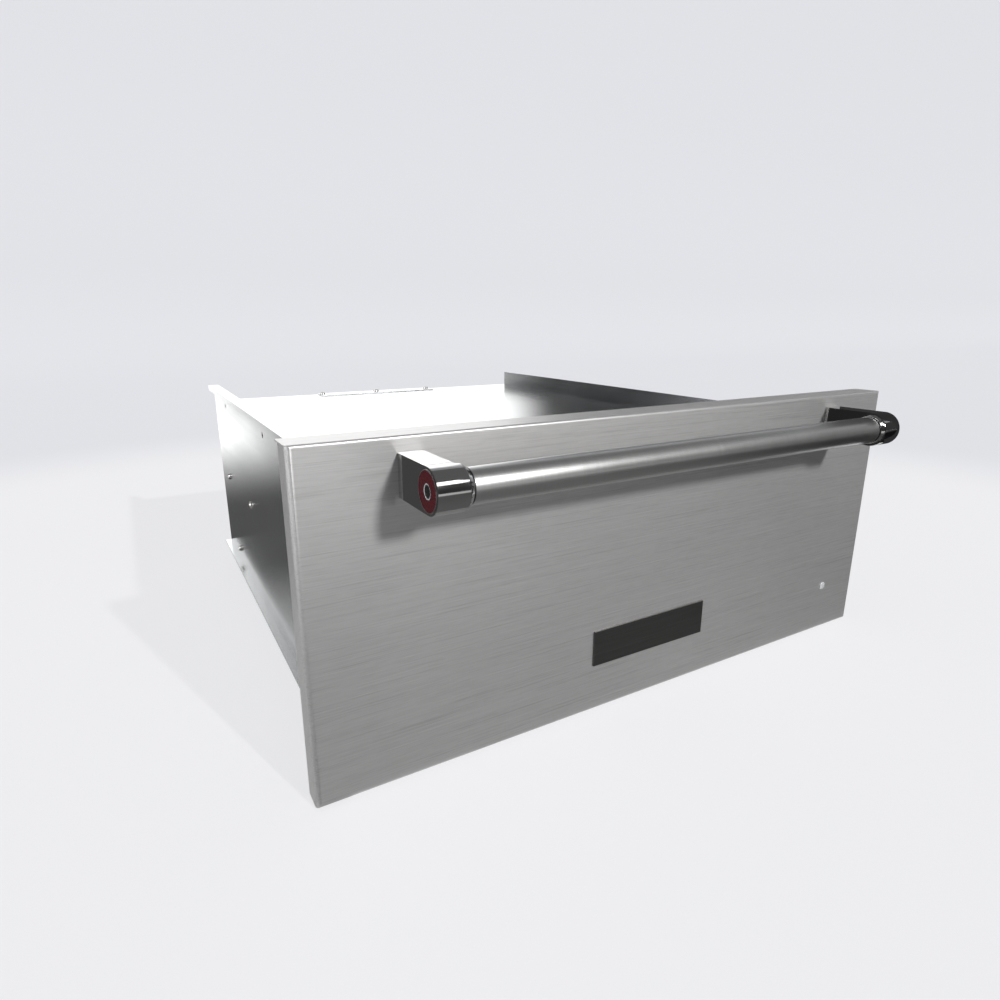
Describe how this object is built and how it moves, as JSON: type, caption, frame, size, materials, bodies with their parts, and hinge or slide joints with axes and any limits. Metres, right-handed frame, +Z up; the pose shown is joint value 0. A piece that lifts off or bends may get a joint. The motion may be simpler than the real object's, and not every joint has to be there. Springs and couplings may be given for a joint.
{
  "type": "warming drawer",
  "caption": "Low steel cabinet with a heated, insulated cavity and a brushed-steel front drawer on full-length ball slides, pulled by a tube handle between polished brackets",
  "frame": {"origin": "On the surface that the feet stand on, under the middle of the closed drawer's overall outline", "axes": "+X to the right seen from the front, -Y the way the drawer opens, +Z up"},
  "size_m": [0.6794, 0.7353, 0.291],
  "materials": {
    "front_steel": "fine horizontal brushing",
    "handle_steel": "satin",
    "bracket_chrome": "polished",
    "cabinet_steel": "zinc-coated sheet",
    "inner_steel": "bright stainless sheet",
    "slide_steel": "zinc-plated rolled steel",
    "screw_steel": "zinc-plated",
    "cage_steel": "yellow-passivated strip with bright balls",
    "element_sheath": "dull oxidised sheath",
    "badge_metal": "dark satin",
    "medallion_enamel": "glossy dark red enamel",
    "gasket_rubber": "matte silicone",
    "foot_rubber": "matte",
    "blanket_wool": "mineral wool",
    "insulator_ceramic": "matte",
    "board_green": "lacquered circuit board",
    "black_plastic": "matte",
    "cream_plastic": "matte",
    "lens_plastic": "clear polished",
    "touch_glass": "black back-printed glass"
  },
  "bodies": {
    "cabinet": {"side_wall_left": "cabinet_steel", "side_wall_right": "cabinet_steel", "base_pan": "cabinet_steel", "back_wall": "cabinet_steel", "top_panel": "cabinet_steel", "channel_cover": "cabinet_steel", "front_frame": "cabinet_steel", "door_gasket": "gasket_rubber", "cavity_liner": "inner_steel", "insulation_top": "blanket_wool", "insulation_base": "blanket_wool", "insulation_back": "blanket_wool", "insulation_sides": "blanket_wool", "slide_supports": "cabinet_steel", "outer_slides": "slide_steel", "slide_screws": "screw_steel", "cabinet_screws": "screw_steel", "heating_element": "element_sheath", "element_bushes": "insulator_ceramic", "element_clips": "cabinet_steel", "element_cover": "inner_steel", "temperature_sensor": "inner_steel", "limit_thermostat": "black_plastic", "rear_bumpers": "gasket_rubber", "terminal_box": "cabinet_steel", "rear_cover": "cabinet_steel", "control_board": "board_green", "board_components": "black_plastic", "board_spacers": "cream_plastic", "terminal_block": "cream_plastic", "conduit_bush": "black_plastic", "foot_pads": "foot_rubber", "foot_studs": "screw_steel"},
    "drawer": {"inner_slides": "slide_steel", "carrier_side_left": "inner_steel", "carrier_side_right": "inner_steel", "carrier_front": "inner_steel", "carrier_rear": "inner_steel", "drawer_screws": "screw_steel", "warming_pan": "inner_steel", "front_panel": "front_steel", "front_lining": "inner_steel", "front_insulation": "blanket_wool", "handle_stiffener": "cabinet_steel", "handle_tube": "handle_steel", "handle_bracket_left": "bracket_chrome", "handle_bracket_right": "bracket_chrome", "handle_spacers": "black_plastic", "medallions": "medallion_enamel", "handle_bolts": "screw_steel", "badge_plate": "badge_metal", "indicator_lens": "lens_plastic", "indicator_lamp": "board_green", "control_tray": "black_plastic", "touch_board": "board_green", "touch_glass": "touch_glass"},
    "middle_members": {"middle_slides": "slide_steel"},
    "outer_cages": {"outer_ball_cages": "cage_steel"},
    "inner_cages": {"inner_ball_cages": "cage_steel"},
    "vent_shutter": {"vent_slide": "black_plastic"}
  },
  "joints": [
    {"name": "drawer_slide", "type": "slide", "parent": "cabinet", "child": "drawer", "axis": [0, -1, 0], "range_m": [0, 0.48]},
    {"name": "middle_member_slide", "type": "slide", "parent": "cabinet", "child": "middle_members", "axis": [0, -1, 0], "range_m": [0, 0.24]},
    {"name": "outer_cage_slide", "type": "slide", "parent": "cabinet", "child": "outer_cages", "axis": [0, -1, 0], "range_m": [0, 0.12]},
    {"name": "inner_cage_slide", "type": "slide", "parent": "cabinet", "child": "inner_cages", "axis": [0, -1, 0], "range_m": [0, 0.36]},
    {"name": "vent_shutter_slide", "type": "slide", "parent": "drawer", "child": "vent_shutter", "axis": [1, 0, 0], "range_m": [0, 0.007]}
  ],
  "couplings": [
    {"joint": "middle_member_slide", "follows": "drawer_slide", "ratio": 0.5},
    {"joint": "outer_cage_slide", "follows": "drawer_slide", "ratio": 0.25},
    {"joint": "inner_cage_slide", "follows": "drawer_slide", "ratio": 0.75}
  ]
}
